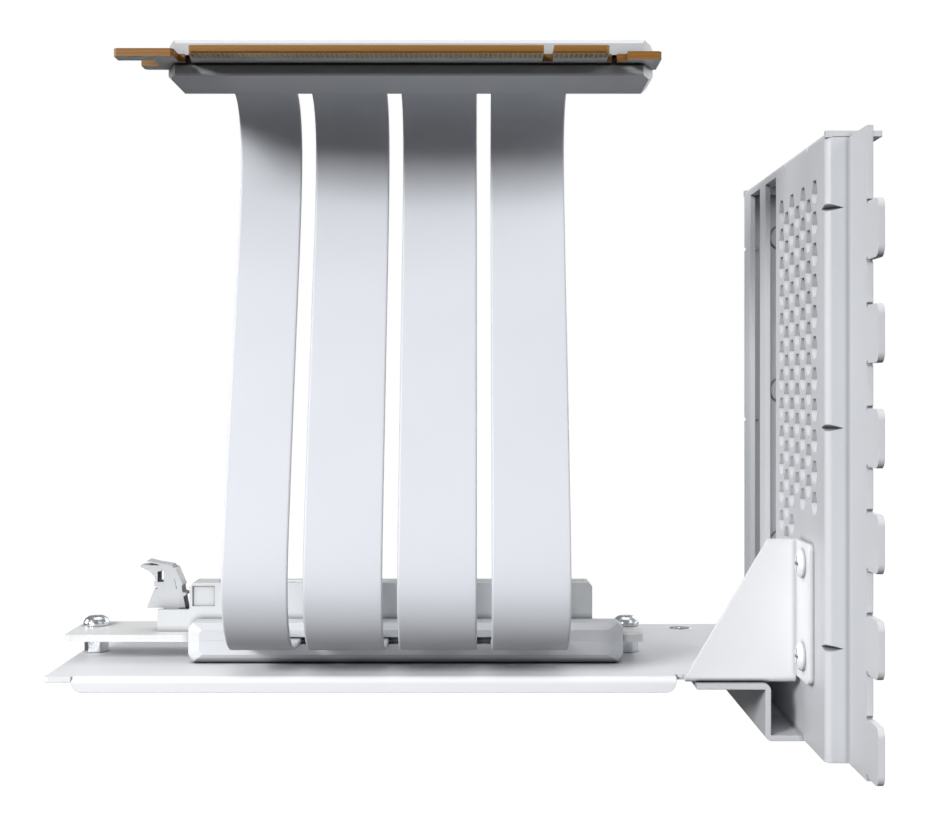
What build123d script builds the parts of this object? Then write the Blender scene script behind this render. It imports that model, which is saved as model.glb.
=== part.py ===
from build123d import *
import math
import os

# A bracket that holds a graphics card upright beside the board it plugs into.
# A perforated sheet-steel plate stands where the case's slot covers would be. A folded tray
# hangs off it and carries a card socket, and four flat cables join the socket to a free plug.
# All lengths are in millimetres. The origin is the middle of the outer face of the plate's near
# flange, which lies against the case. +X points out through the case's rear wall, +Y runs away
# from the side where the free plug points, and +Z is up.

# Sheet steel, the same for the plate and the tray.
sheet = 1.2
bend = 0.2
fit = 0.1

# Rear plate.
plate_height = 128.0
joggle = 4.7
flange_depth = 15.2
flange_inset = 0.9
panel_depth = 93.3
shelf_width = 11.4
shelf_gap = 0.1
collar_wall = 0.9
collar_drop = 1.6
return_width = 15.0
tab_count = 6
tab_reach = 8.2
tab_length = 11.2
tab_pitch = 19.9
tab_centre_z = -7.4
tab_corner = 2.0
tab_nick = 0.5

# The two tall openings that a card's own bracket stands in.
window_width = 12.85
window_pitch = 19.95
window_margin = 10.2
window_top_margin = 2.4
window_height = 104.0

# Ventilation field: hexagonal holes, each column half a pitch off the next.
vent_pitch = 6.49
vent_flats = 4.8
vent_columns = (12, 12, 12, 10, 11, 10, 11)
vent_margin = 6.4
vent_top_margin = 11.1

# Pressed darts that stiffen the folds.
dart_half_width = 0.95
dart_depth = 2.6
dart_skin = 1.0
side_dart_z = (48.5, 4.0, -40.5)
top_dart_y = (23.4, 46.4)

# Round press marks in the return wall.
mark_radius = 3.5
mark_groove = 0.6
mark_depth = 0.4
mark_x = 3.9
mark_z = (51.6, 11.6, -28.4)

# Foot of the plate, folded back under the tray.
foot_start = 21.0
foot_end_gap = 1.7
foot_run = 8.1
foot_ledge = 15.3

# Tray. It rests on the foot's ledge, so its height is counted from the plate's bottom.
tray_rise = 13.5
tray_front = 29.0
tray_depth = 73.8
tray_left_inset = 0.5
lip_height = 3.4
lip_left_inset = 5.9
lip_length = 131.3
lip_corner = 2.5
gusset_height = 29.9
gusset_top_width = 6.0
gusset_base_width = 23.8
gusset_flange = 12.1
gusset_flange_lift = 0.5
gusset_flange_corner = 1.5

# Riser board on its standoffs.
board_thickness = 1.6
board_length = 132.5
board_depth = 20.3
board_right = -38.1
board_front = 47.1
standoff_height = 4.6
standoff_flats = 5.0
standoff_spigot = 2.1
board_screw_insets = (3.9, 2.6)
board_screw_y = 61.4

# Screws. A small screw closes the moulded covers.
screw_radius = 1.5
pan_head_radius = 3.0
pan_head_height = 2.2
gusset_head_height = 1.4
flat_head_radius = 2.9
recess_length = 3.4
recess_width = 0.7
recess_depth = 1.0
gusset_screw_y = 22.1
gusset_screw_up = (25.4, 5.7)
foot_screw_x = -23.0
foot_screw_y = (42.0, 96.1)
small_screw_radius = 0.9
small_head_radius = 1.7
small_head_height = 1.0

# Card socket.
socket_left = -142.9
socket_length = 93.5
socket_width = 8.0
socket_height = 11.2
socket_front = 52.4
slot_width = 1.9
slot_depth = 8.5
slot_short = 11.9
slot_long = 71.9
slot_key = 1.7
slot_end_wall = 1.7
slot_lip = 1.5
pocket_width = 4.3
lead_in = 0.4
end_recess_width = 5.2
end_recess_height = 4.7
end_recess_depth = 0.4
contact_pitch = 1.0
contact_width = 0.5
contact_gauge = 0.25

# Cradle at the socket's end, and the retention latch that swings in it.
cradle_length = 7.4
cradle_height = 5.0
cradle_floor = 0.8
cradle_slot = 5.2
latch_width = 4.8
latch_foot_radius = 1.6
latch_pivot_in = 4.2
latch_pivot_up = 2.9
latch_pivot_radius = 0.8
latch_pivot_length = 0.9
pivot_clearance = 0.08

# Moulded cover where the cables join the board.
base_cover_length = 99.0
base_cover_left = -141.9
base_cover_front = 43.9
base_cover_lift = 0.3
base_cover_height = 8.9
base_upper_depth = 8.1
base_lower_depth = 14.1
cover_bevel_depth = 1.8
cover_end_bevel = 2.8
cover_top_bevel = 1.4
cover_bottom_bevel = 1.9
cover_corner = 1.1

# Flat cables.
ribbon_widths = (14.0, 16.75, 16.75, 16.75)
ribbon_gap = 3.1
ribbon_left = -129.9
ribbon_thickness = 1.0
ribbon_slot_play = 0.15

# Route of the flat cables' middle, from the riser board's edge to the plug: y, and the share of
# the climb from the board up to the plug.
ribbon_route = (
    (47.1, 0.0),
    (37.0, 0.0),
    (26.6, 0.008),
    (19.6, 0.063),
    (18.0, 0.141),
    (23.6, 0.293),
    (33.6, 0.539),
    (41.6, 0.722),
    (45.7, 0.853),
    (45.8, 0.923),
    (42.0, 0.976),
    (35.4, 0.998),
    (28.2, 1.0),
)

# Free plug: board with a card edge, closed in two moulded shells.
plug_board_top = 80.8
plug_tongue_front = 4.0
plug_long = 71.3
plug_key = 2.1
plug_short = 11.1
plug_long_left = -134.1
plug_body_front = 12.4
plug_body_back = 32.0
plug_body_left = -146.1
plug_body_right = -38.5
plug_ear_back = 20.4
plug_shoulder_width = 6.9
plug_shoulder_reach = 2.5
plug_relief = 1.1
plug_relief_depth = 2.4
plug_edge_bevel = 0.3
plug_corner = 0.6
hook_left = -149.7
hook_right = -137.6
hook_front = 7.1
hook_bar = 4.3
hook_neck = 4.6
hook_notch = 5.1
plug_cover_left = -141.4
plug_cover_length = 102.4
plug_cover_front = 13.8
plug_cover_depth = 20.4
plug_cover_bottom = 76.7
plug_cover_height = 7.4
plug_cover_wall = 1.8
plug_nose_width = 2.8
plug_nose_depth = 7.5
plug_end_bevel = 1.2
plug_cover_edge = 0.8
plug_groove_height = 0.45
plug_groove_depth = 0.8
finger_width = 0.7
finger_length = 4.0
finger_start = 0.7
finger_thickness = 0.05

# Planes and faces worked out from the sizes above.
panel_face = -joggle - sheet
panel_near = flange_depth / 2 - sheet
panel_far = panel_near + panel_depth
plate_top = plate_height / 2
plate_bottom = -plate_height / 2
tray_top = plate_bottom + tray_rise
gusset_screw_z = [tray_top + up for up in gusset_screw_up]
base_cover_bottom = tray_top + base_cover_lift
walls_top = plate_top - sheet - shelf_gap
flange_bottom = plate_bottom + flange_inset / 2
tray_right = panel_face - sheet
tray_back = tray_front + tray_depth
board_bottom = tray_top + standoff_height
board_top = board_bottom + board_thickness
board_middle = board_bottom + board_thickness / 2
board_left = board_right - board_length
tray_left = board_left + tray_left_inset
board_screw_x = (board_left + board_screw_insets[0], board_right - board_screw_insets[1])
socket_top = board_top + socket_height
socket_middle = socket_front + socket_width / 2
socket_right = socket_left + socket_length
plug_board_bottom = plug_board_top - board_thickness
base_cover_top = base_cover_bottom + base_cover_height
plug_cover_top = plug_cover_bottom + plug_cover_height
plug_cover_right = plug_cover_left + plug_cover_length
plug_cover_back = plug_cover_front + plug_cover_depth
plug_inner_left = plug_cover_left + plug_cover_wall
plug_inner_right = plug_cover_right - plug_cover_wall
ribbon_span = sum(ribbon_widths) + ribbon_gap * (len(ribbon_widths) - 1)

# Where the cables start and end, and the route of their middle between as (y, z).
ribbon_low = board_middle
ribbon_high = plug_board_bottom - ribbon_thickness / 2 - fit
route = [(y, ribbon_low + share * (ribbon_high - ribbon_low)) for y, share in ribbon_route]


def block(x0, x1, y0, y1, z0, z1):
    """A box between two corners."""
    middle = Pos((x0 + x1) / 2, (y0 + y1) / 2, (z0 + z1) / 2)
    return middle * Box(x1 - x0, y1 - y0, z1 - z0)


def along_x(face, x0, x1):
    """A face drawn as (y, z), pushed from x0 to x1."""
    return extrude(Plane.YZ.offset(x0) * face, amount=x1 - x0)


def along_y(face, y0, y1):
    """A face drawn as (x, z), pushed from y0 to y1."""
    return extrude(Plane.XZ.offset(-y1) * face, amount=y1 - y0)


def along_z(face, z0, z1):
    """A face drawn as (x, y), pushed from z0 to z1."""
    return extrude(Plane.XY.offset(z0) * face, amount=z1 - z0)


def polygon(*points):
    """A flat face with straight sides."""
    return make_face(Polyline(*points, close=True))


def side_points(points, offset):
    """The corners of a path moved sideways by offset, to the left of its direction."""
    moved = []
    for index, point in enumerate(points):
        here = Vector(*point)
        before = Vector(*points[max(index - 1, 0)])
        after = Vector(*points[min(index + 1, len(points) - 1)])
        first = (here - before) if index else (after - here)
        last = (after - here) if index < len(points) - 1 else first
        normal_in = Vector(-first.Y, first.X).normalized()
        normal_out = Vector(-last.Y, last.X).normalized()
        middle = (normal_in + normal_out).normalized()
        moved.append(here + middle * (offset / middle.dot(normal_in)))
    return moved


def turn(points, index):
    """The signed turn at a corner of a path, in degrees, positive to the left."""
    first = Vector(*points[index]) - Vector(*points[index - 1])
    last = Vector(*points[index + 1]) - Vector(*points[index])
    angle = math.degrees(math.atan2(first.X * last.Y - first.Y * last.X, first.dot(last)))
    return angle


def strip(points, thickness, radii):
    """The edge-on face of a sheet or flat cable whose middle follows points with rounded corners."""
    half = thickness / 2
    corners = range(1, len(points) - 1)
    turns = [math.copysign(1, turn(points, index)) for index in corners]
    left_radii = [radius - half * side for radius, side in zip(radii, turns)]
    right_radii = [radius + half * side for radius, side in zip(radii, turns)]
    left = side_points(points, half)
    right = side_points(points, -half)
    edges = [
        FilletPolyline(*left, radius=left_radii),
        Line(left[-1], right[-1]),
        FilletPolyline(*right[::-1], radius=right_radii[::-1]),
        Line(right[0], left[0]),
    ]
    return make_face(Wire.combine([edge for line in edges for edge in line.edges()])[0])


def folded(points):
    """The edge-on face of a folded steel sheet whose middle follows points."""
    return strip(points, sheet, [bend + sheet / 2] * (len(points) - 2))


def dart(corner, along, inward_a, inward_b):
    """A dart across a fold: the pointed channel outside, and the rib that it leaves inside."""
    corner, along = Vector(*corner), Vector(*along)
    inward_a, inward_b = Vector(*inward_a), Vector(*inward_b)
    direction = (inward_a - inward_b).normalized()
    reach = dart_depth + fit
    plane = Plane(corner - direction * reach, x_dir=along, z_dir=direction)
    inward = 1 if plane.y_dir.dot(inward_a + inward_b) > 0 else -1
    pieces = []
    for skin in (0, dart_skin):
        half, depth = dart_half_width + skin, dart_depth + skin
        wide = half * (1 + 1 / depth)
        section = polygon((-wide, -inward), (wide, -inward), (0, depth * inward))
        pieces.append(extrude(plane * section, amount=2 * reach))
    channel, rib = pieces
    size = 2 * reach
    centre = corner + (inward_a + inward_b) * (reach + sheet / 2)
    keep = Plane(centre, x_dir=inward_a, z_dir=along) * Box(size, size, size)
    return channel, rib & keep


def vent_field():
    """All ventilation holes of the panel, as prisms through it."""
    column_pitch = vent_pitch * math.sqrt(3) / 2
    first_window = panel_far - window_margin - window_pitch - window_width
    hexagon = RegularPolygon(vent_flats / math.sqrt(3), 6)
    holes = []
    for column, rows in enumerate(vent_columns):
        y = first_window - vent_margin - column * column_pitch
        top = plate_top - vent_top_margin - (column % 2) * vent_pitch / 2
        for row in range(rows):
            place = Pos(y, top - row * vent_pitch) * hexagon
            holes.append(along_x(place, panel_face - sheet, panel_face + 2 * sheet))
    return holes


def flange_tabs():
    """Six tongues along the near flange, with rounded outer corners."""
    tabs = []
    nicks = []
    front = -flange_depth / 2
    for index in range(tab_count):
        middle = tab_centre_z + (index - (tab_count - 1) / 2) * tab_pitch
        low, high = middle - tab_length / 2, middle + tab_length / 2
        tab = block(-sheet, 0, front - tab_reach, front + 1, low, high)
        outer = tab.edges().filter_by(Axis.X).group_by(Axis.Y)[0]
        tabs.append(fillet(outer, tab_corner))
        for z in (low, high):
            nick = Pos(front, z) * Circle(tab_nick)
            nicks.append(along_x(nick, -2 * sheet, sheet))
    return tabs, nicks


def foot():
    """The sheet under the panel, folded in, up and in again to carry the tray."""
    middle = sheet / 2
    web_x = panel_face - foot_run + middle
    ledge_z = tray_top - sheet - middle
    path = (
        (panel_face + middle, plate_bottom + 3 * sheet),
        (panel_face + middle, plate_bottom + middle),
        (web_x, plate_bottom + middle),
        (web_x, ledge_z),
        (web_x - foot_ledge, ledge_z),
    )
    start = panel_near + foot_start
    return along_y(folded(path), start, panel_far - foot_end_gap)


def top_shelf():
    """The shelf folded out from the panel's top, in the pieces that it is joined from."""
    middle = sheet / 2
    corner = bend + sheet
    path = (
        (panel_face + middle, plate_top - 4 * sheet),
        (panel_face + middle, plate_top - middle),
        (panel_face + shelf_width, plate_top - middle),
    )
    fold = along_y(folded(path), panel_near + corner, panel_far - corner)
    flat = block(
        panel_face + corner, panel_face + shelf_width, panel_near, panel_far,
        plate_top - sheet, plate_top,
    )
    posts = [
        block(panel_face, panel_face + corner, low, low + corner, walls_top - shelf_gap, plate_top)
        for low in (panel_near, panel_far - corner)
    ]
    return [fold, flat, *posts]


def shelf_hole_places():
    """Where the shelf's holes for the card's bracket screws are, each over its window."""
    x = panel_face + shelf_width / 2 + sheet
    far = panel_far - window_margin - window_width / 2
    return [(x, far), (x, far - window_pitch)]


def shelf_collars():
    """Short tubes drawn down round the shelf's holes, so that a thread has room."""
    collar = Circle(screw_radius + fit + collar_wall)
    low = plate_top - sheet - collar_drop
    return [along_z(Pos(x, y) * collar, low, plate_top) for x, y in shelf_hole_places()]


def rear_plate():
    """The perforated plate, folded from one sheet."""
    middle = sheet / 2
    walls = (
        (-middle, -flange_depth / 2),
        (-middle, flange_depth / 2 - middle),
        (panel_face + middle, flange_depth / 2 - middle),
        (panel_face + middle, panel_far - middle),
        (panel_face + return_width, panel_far - middle),
    )
    plate = along_z(folded(walls), flange_bottom, walls_top)
    tabs, nicks = flange_tabs()
    for extra in (*top_shelf(), *shelf_collars(), foot(), *tabs):
        plate = plate + extra

    channels = []
    ribs = []
    for z in side_dart_z:
        near = dart((panel_face, panel_near, z), (0, 0, 1), (1, 0, 0), (0, 1, 0))
        far = dart((panel_face, panel_far, z), (0, 0, 1), (1, 0, 0), (0, -1, 0))
        for channel, rib in (near, far):
            channels.append(channel)
            ribs.append(rib)
    for y in top_dart_y:
        channel, rib = dart((panel_face, y, plate_top), (0, 1, 0), (1, 0, 0), (0, 0, -1))
        channels.append(channel)
        ribs.append(rib)
    plate = plate + ribs

    windows = []
    far_edge = panel_far - window_margin
    window_top = plate_top - window_top_margin
    for index in range(2):
        high = far_edge - index * window_pitch
        low = high - window_width
        windows.append(
            block(
                panel_face - sheet, panel_face + 3 * sheet, low, high,
                window_top - window_height, window_top,
            )
        )
    screw_hole = along_z(
        Circle(screw_radius + fit), plate_top - 2 * sheet - collar_drop, plate_top + sheet
    )
    screw_holes = [Pos(x, y, 0) * screw_hole for x, y in shelf_hole_places()]
    mark_face = panel_far - sheet
    marks = []
    for z in mark_z:
        ring = Circle(mark_radius) - Circle(mark_radius - mark_groove)
        marks.append(along_y(Pos(mark_x, z) * ring, mark_face - sheet, mark_face + mark_depth))
    fixings = []
    for z in gusset_screw_z:
        hole = Pos(gusset_screw_y, z) * Circle(screw_radius + fit / 2)
        fixings.append(along_x(hole, panel_face - sheet, panel_face + 2 * sheet))
    for y in foot_screw_y:
        spot = Pos(foot_screw_x, y) * Circle(screw_radius + fit / 2)
        fixings.append(along_z(spot, tray_top - 3 * sheet, tray_top))
    return plate - channels - windows - screw_holes - marks - fixings - nicks - vent_field()


def tray_lip():
    """The front edge of the tray folded down, with rounded ends."""
    middle = sheet / 2
    path = (
        (tray_front + 4 * sheet, tray_top - middle),
        (tray_front + middle, tray_top - middle),
        (tray_front + middle, tray_top - lip_height),
    )
    left = tray_left + lip_left_inset
    lip = along_x(folded(path), left, left + lip_length)
    ends = lip.edges().filter_by(Axis.Y).group_by(Axis.Z)[0]
    return fillet(ends, lip_corner)


def tray_gusset():
    """The triangle folded up from the tray's front edge, with its flange against the panel."""
    middle = sheet / 2
    path = (
        (tray_front + 4 * sheet, tray_top - middle),
        (tray_front + middle, tray_top - middle),
        (tray_front + middle, tray_top + gusset_height),
    )
    base_left = tray_right - gusset_base_width
    web = along_x(folded(path), base_left, tray_right)
    top_left = tray_right - gusset_top_width
    top = tray_top + gusset_height
    waste = polygon(
        (base_left - 1, tray_top), (base_left, tray_top), (top_left, top),
        (top_left, top + 1), (base_left - 1, top + 1),
    )
    web = web - along_y(waste, tray_front - 1, tray_front + 4)
    turned = (
        (tray_right - 3 * sheet, tray_front + middle),
        (panel_face - middle, tray_front + middle),
        (panel_face - middle, tray_front + sheet - gusset_flange - sheet),
    )
    low = tray_top + gusset_flange_lift
    flange = along_z(folded(turned), low, top)
    near = flange.edges().filter_by(Axis.X).group_by(Axis.Y)[0]
    flange = fillet(near, gusset_flange_corner)
    return web + flange


def sunk_hole(radius, head_radius, head_height, length):
    """A cutter for a flush screw: its hole and the cone for its head, from the XY plane down."""
    profile = polygon(
        (0, -length), (radius, -length), (radius, -head_height), (head_radius, 0),
        (head_radius, 1), (0, 1),
    )
    return revolve(Plane.XZ * profile, Axis.Z)


def tray():
    """The folded tray that carries the riser board."""
    floor = block(
        tray_left, tray_right, tray_front + 3 * sheet, tray_back, tray_top - sheet, tray_top
    )
    front_strip = block(
        tray_left, tray_left + lip_left_inset, tray_front, tray_front + 4 * sheet,
        tray_top - sheet, tray_top,
    )
    piece = floor + front_strip + tray_lip() + tray_gusset()
    corners = piece.edges().filter_by(Axis.Z).group_by(Axis.X)[0]
    piece = fillet(corners, 1.0)
    holes = []
    for x in board_screw_x:
        spot = Pos(x, board_screw_y) * Circle(standoff_spigot + fit / 2)
        holes.append(along_z(spot, tray_top - 2 * sheet, tray_top + sheet))
    for z in gusset_screw_z:
        spot = Pos(gusset_screw_y, z) * Circle(screw_radius + fit)
        holes.append(along_x(spot, tray_right - sheet, panel_face + fit))
    sunk = sunk_hole(screw_radius + fit, flat_head_radius + fit, sheet, 2 * sheet)
    for y in foot_screw_y:
        holes.append(Pos(foot_screw_x, y, tray_top) * sunk)
    return piece - holes


def cross_recess(length, width, depth, top):
    """A cross-shaped driver recess, sunk from a height of top."""
    long_way = block(-length / 2, length / 2, -width / 2, width / 2, top - depth, top + 1)
    short_way = block(-width / 2, width / 2, -length / 2, length / 2, top - depth, top + 1)
    return long_way + short_way


def pan_screw(head_height, length):
    """A pan-head screw that stands on the XY plane with its shank below."""
    profile = polygon(
        (0, 0), (pan_head_radius, 0), (pan_head_radius, head_height * 0.4),
        (pan_head_radius * 0.86, head_height * 0.76), (pan_head_radius * 0.6, head_height),
        (0, head_height),
    )
    head = revolve(Plane.XZ * profile, Axis.Z)
    head = head - cross_recess(recess_length, recess_width, recess_depth, head_height)
    shank = along_z(Circle(screw_radius), -length, 0.0)
    return head + shank


def flat_screw(radius, head_radius, head_height, length):
    """A flush screw whose head's top lies on the XY plane."""
    head = Pos(0, 0, -head_height / 2) * Cone(radius, head_radius, head_height)
    shank = along_z(Circle(radius), -length, -head_height)
    recess = cross_recess(head_radius, head_radius / 4, head_height * 0.6, 0.0)
    return head + shank - recess


def group(pieces):
    """Several separate solids in one node."""
    return Compound(children=[solid for piece in pieces for solid in piece.solids()])


def gusset_screws():
    """Two pan-head screws through the gusset's flange into the panel."""
    length = 2 * sheet + 1.2
    screw = Rot(0, -90, 0) * pan_screw(gusset_head_height, length)
    return group([Pos(tray_right, gusset_screw_y, z) * screw for z in gusset_screw_z])


def foot_screws():
    """Two flush screws through the tray into the foot."""
    screw = flat_screw(screw_radius, flat_head_radius, sheet, 2 * sheet + 1.0)
    return group([Pos(foot_screw_x, y, tray_top) * screw for y in foot_screw_y])


def standoffs():
    """Two hexagonal standoffs pressed into the tray."""
    pieces = []
    for x in board_screw_x:
        across = standoff_flats / math.sqrt(3)
        body = along_z(RegularPolygon(across, 6), tray_top, board_bottom)
        spigot = along_z(Circle(standoff_spigot), tray_top - sheet, tray_top)
        bore = along_z(Circle(screw_radius + fit / 2), tray_top - 2 * sheet, board_top)
        pieces.append(Pos(x, board_screw_y) * (body + spigot - bore))
    return group(pieces)


def board_screws():
    """Two pan-head screws that hold the riser board to its standoffs."""
    screw = pan_screw(pan_head_height, board_thickness + standoff_height * 0.75)
    return group([Pos(x, board_screw_y, board_top) * screw for x in board_screw_x])


def cover_screw_places():
    """Where the small screws close the cover on the riser board."""
    y = board_front + (socket_front - board_front) / 2
    inset = cover_end_bevel + small_head_radius + 1.0
    return [
        (base_cover_left + inset, y),
        (base_cover_left + base_cover_length - inset, y),
    ]


def riser_board():
    """The circuit board under the card socket."""
    board = block(
        board_left, board_right, board_front, board_front + board_depth,
        board_bottom, board_top,
    )
    board = fillet(board.edges().filter_by(Axis.Z), 1.0)
    holes = [
        along_z(Pos(x, board_screw_y) * Circle(screw_radius + fit), board_bottom - 1, board_top + 1)
        for x in board_screw_x
    ]
    for x, y in cover_screw_places():
        spot = Pos(x, y) * Circle(small_screw_radius + fit)
        holes.append(along_z(spot, board_bottom - 1, board_top + 1))
    return board - holes


def slot_spans():
    """The short and the long half of the card slot, as (low x, high x)."""
    short_right = socket_right - slot_end_wall
    short_left = short_right - slot_short
    long_right = short_left - slot_key
    return [(short_left, short_right), (long_right - slot_long, long_right)]


def latch_pivot():
    """The (x, z) of the latch's hinge axis."""
    return socket_left - latch_pivot_in, board_top + latch_pivot_up


def socket_body():
    """The moulded card socket with its slot, end panel and latch cradle."""
    back = socket_front + socket_width
    body = block(socket_left, socket_right, socket_front, back, board_top, socket_top)
    top_corners = body.edges().filter_by(Axis.Y).group_by(Axis.Z)[-1]
    body = chamfer(top_corners, 0.8)
    cradle = block(
        socket_left - cradle_length, socket_left, socket_front, back,
        board_top, board_top + cradle_height,
    )
    body = body + cradle
    cuts = []
    for low, high in slot_spans():
        lip_bottom = socket_top - slot_lip
        half = slot_width / 2
        cuts.append(
            block(low, high, socket_middle - half, socket_middle + half, lip_bottom, socket_top + 1)
        )
        pocket = pocket_width / 2
        cuts.append(
            block(
                low, high, socket_middle - pocket, socket_middle + pocket,
                socket_top - slot_depth, lip_bottom,
            )
        )
        mouth = polygon(
            (socket_middle - half - lead_in, socket_top),
            (socket_middle + half + lead_in, socket_top),
            (socket_middle + half, socket_top - lead_in),
            (socket_middle - half, socket_top - lead_in),
        )
        cuts.append(along_x(mouth, low, high))
    recess_left = socket_left + 0.7
    recess_top = socket_top - 0.7
    for y0, y1 in (
        (socket_front - 1, socket_front + end_recess_depth),
        (back - end_recess_depth, back + 1),
    ):
        cuts.append(
            block(
                recess_left, recess_left + end_recess_width, y0, y1,
                recess_top - end_recess_height, recess_top,
            )
        )
    half = cradle_slot / 2
    cuts.append(
        block(
            socket_left - cradle_length - 1, socket_left - 0.6, socket_middle - half,
            socket_middle + half, board_top + cradle_floor, board_top + cradle_height + 1,
        )
    )
    pivot_x, pivot_z = latch_pivot()
    bore = Pos(pivot_x, pivot_z) * Circle(latch_pivot_radius + pivot_clearance)
    reach = latch_width / 2 + latch_pivot_length + 0.1
    cuts.append(along_y(bore, socket_middle - reach, socket_middle + reach))
    return body - cuts


def contact_blade():
    """One spring contact: its bent edge-on face, pushed to the blade's width."""
    outer = pocket_width / 2 - contact_gauge / 2
    floor = socket_top - slot_depth
    path = (
        (outer, floor),
        (outer, floor + 2.4),
        (slot_width * 0.38, floor + 4.8),
        (slot_width * 0.62, floor + slot_depth - slot_lip - 0.3),
    )
    near = side_points(path, contact_gauge / 2)
    far = side_points(path, -contact_gauge / 2)
    return along_x(polygon(*near, *far[::-1]), -contact_width / 2, contact_width / 2)


def socket_contacts():
    """The two rows of spring contacts inside the slot."""
    blade = contact_blade()
    pieces = []
    for low, high in slot_spans():
        count = int((high - low) / contact_pitch)
        first = (low + high) / 2 - (count - 1) / 2 * contact_pitch
        for index in range(count):
            x = first + index * contact_pitch
            pieces.append(Pos(x, socket_middle, 0) * blade)
            pieces.append(Pos(x, socket_middle, 0) * mirror(blade, Plane.XZ))
    return group(pieces)


def latch():
    """The retention latch: foot on trunnions, wide lower body, thumb fork and card hook."""
    pivot_x, pivot_z = latch_pivot()
    base = pivot_z + 2.3
    half = latch_width / 2
    lower = polygon(
        (pivot_x - 6.0, base), (pivot_x + 2.5, base), (pivot_x + 1.3, base + 4.4),
        (pivot_x - 4.3, base + 4.4),
    )
    neck = polygon(
        (pivot_x - 1.5, pivot_z), (pivot_x + 1.5, pivot_z), (pivot_x + 1.5, base + 0.5),
        (pivot_x - 1.5, base + 0.5),
    )
    stem = polygon(
        (pivot_x - 3.6, base + 4.2), (pivot_x + 1.0, base + 4.2), (pivot_x + 0.6, base + 5.2),
        (pivot_x - 3.6, base + 5.2),
    )
    bar = polygon(
        (pivot_x - 4.3, base + 5.0), (pivot_x + 0.8, base + 5.0), (pivot_x + 0.5, base + 6.0),
        (pivot_x - 4.3, base + 6.0),
    )
    pillar = polygon(
        (pivot_x - 2.1, base + 5.9), (pivot_x + 0.5, base + 5.9), (pivot_x + 0.1, base + 9.3),
        (pivot_x - 2.1, base + 9.3),
    )
    thumb = polygon(
        (pivot_x - 3.9, base + 5.9), (pivot_x - 3.5, base + 5.9), (pivot_x - 3.5, base + 8.4),
        (pivot_x - 1.8, base + 8.8), (pivot_x + 0.2, base + 9.0), (pivot_x + 0.0, base + 9.7),
        (pivot_x - 2.0, base + 9.9), (pivot_x - 7.5, base + 9.9), (pivot_x - 7.5, base + 9.5),
        (pivot_x - 5.6, base + 8.6), (pivot_x - 4.3, base + 7.4),
    )
    prong = polygon(
        (pivot_x - 2.2, base + 9.6), (pivot_x - 0.2, base + 9.5), (pivot_x - 0.2, base + 9.9),
        (pivot_x - 3.4, base + 10.4), (pivot_x - 5.9, base + 11.0), (pivot_x - 6.0, base + 10.7),
        (pivot_x - 3.2, base + 10.0),
    )
    hook = polygon(
        (pivot_x + 2.0, base), (pivot_x - 0.2, base + 9.4), (pivot_x + 0.7, base + 9.3),
        (pivot_x + 2.4, base + 5.3), (pivot_x + 2.1, base + 5.0), (pivot_x + 2.3, base + 3.6),
        (pivot_x + 3.3, base + 3.4), (pivot_x + 3.2, base + 3.0), (pivot_x + 2.5, base + 2.6),
        (pivot_x + 3.0, base),
    )
    outline = lower + neck + stem + bar + pillar + thumb + prong + hook
    front, rear = socket_middle - half, socket_middle + half
    piece = along_y(outline, front, rear)
    foot_end = Pos(pivot_x, pivot_z) * Circle(latch_foot_radius)
    trunnion = Pos(pivot_x, pivot_z) * Circle(latch_pivot_radius)
    piece = piece + along_y(foot_end, front, rear)
    return piece + along_y(trunnion, front - latch_pivot_length, rear + latch_pivot_length)


def hull_outline(left, right, low, high, corner):
    """The cover's outline seen from the front, with cut corners."""
    return polygon(
        (left, low + 1.6 * corner), (left + corner, low), (right - corner, low),
        (right, low + 1.6 * corner), (right, high - corner), (right - corner, high),
        (left + corner, high), (left, high - corner),
    )


def base_hull(depth):
    """The cover on the riser board as one block: a bevelled front, then straight back."""
    left, right = base_cover_left, base_cover_left + base_cover_length
    rim = hull_outline(left, right, base_cover_bottom, base_cover_top, cover_corner)
    face = hull_outline(
        left + cover_end_bevel, right - cover_end_bevel, base_cover_bottom + cover_bottom_bevel,
        base_cover_top - cover_top_bevel, cover_corner * 0.6,
    )
    rim_y = base_cover_front + cover_bevel_depth
    nose = loft([Plane.XZ.offset(-rim_y) * rim, Plane.XZ.offset(-base_cover_front) * face])
    return nose + along_y(rim, rim_y, base_cover_front + depth)


def cable_slot(y0, y1, z0, z1):
    """Room for the four flat cables in a cover."""
    left = ribbon_left - ribbon_slot_play
    return block(left, left + ribbon_span + 2 * ribbon_slot_play, y0, y1, z0, z1)


def base_board_room():
    """Room for the riser board between the two halves of its cover."""
    return block(
        board_left - 1, board_right + 1, board_front - fit,
        board_front + board_depth + 1, board_bottom - fit / 2, board_top + fit / 2,
    )


def small_sunk_hole():
    """A cutter for one of the small screws that close the covers."""
    length = plug_cover_height
    return sunk_hole(small_screw_radius + fit, small_head_radius + fit, small_head_height, length)


def base_cable_room():
    """The slot in the front of the base cover that the cables leave through."""
    half = ribbon_thickness / 2 + 2 * ribbon_slot_play
    return cable_slot(base_cover_front - 1, board_front, board_middle - half, board_middle + half)


def base_cover_upper():
    """Upper shell over the cable joints on the riser board."""
    hull = base_hull(base_upper_depth)
    above = block(
        base_cover_left - 1, base_cover_left + base_cover_length + 1, base_cover_front - 1,
        base_cover_front + base_upper_depth + 1, board_middle, base_cover_top + 1,
    )
    holes = []
    for x, y in cover_screw_places():
        spot = Pos(x, y) * Circle(small_screw_radius + fit / 2)
        holes.append(along_z(spot, board_middle - 1, base_cover_top - 0.8))
    return (hull & above) - base_board_room() - base_cable_room() - holes


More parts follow.
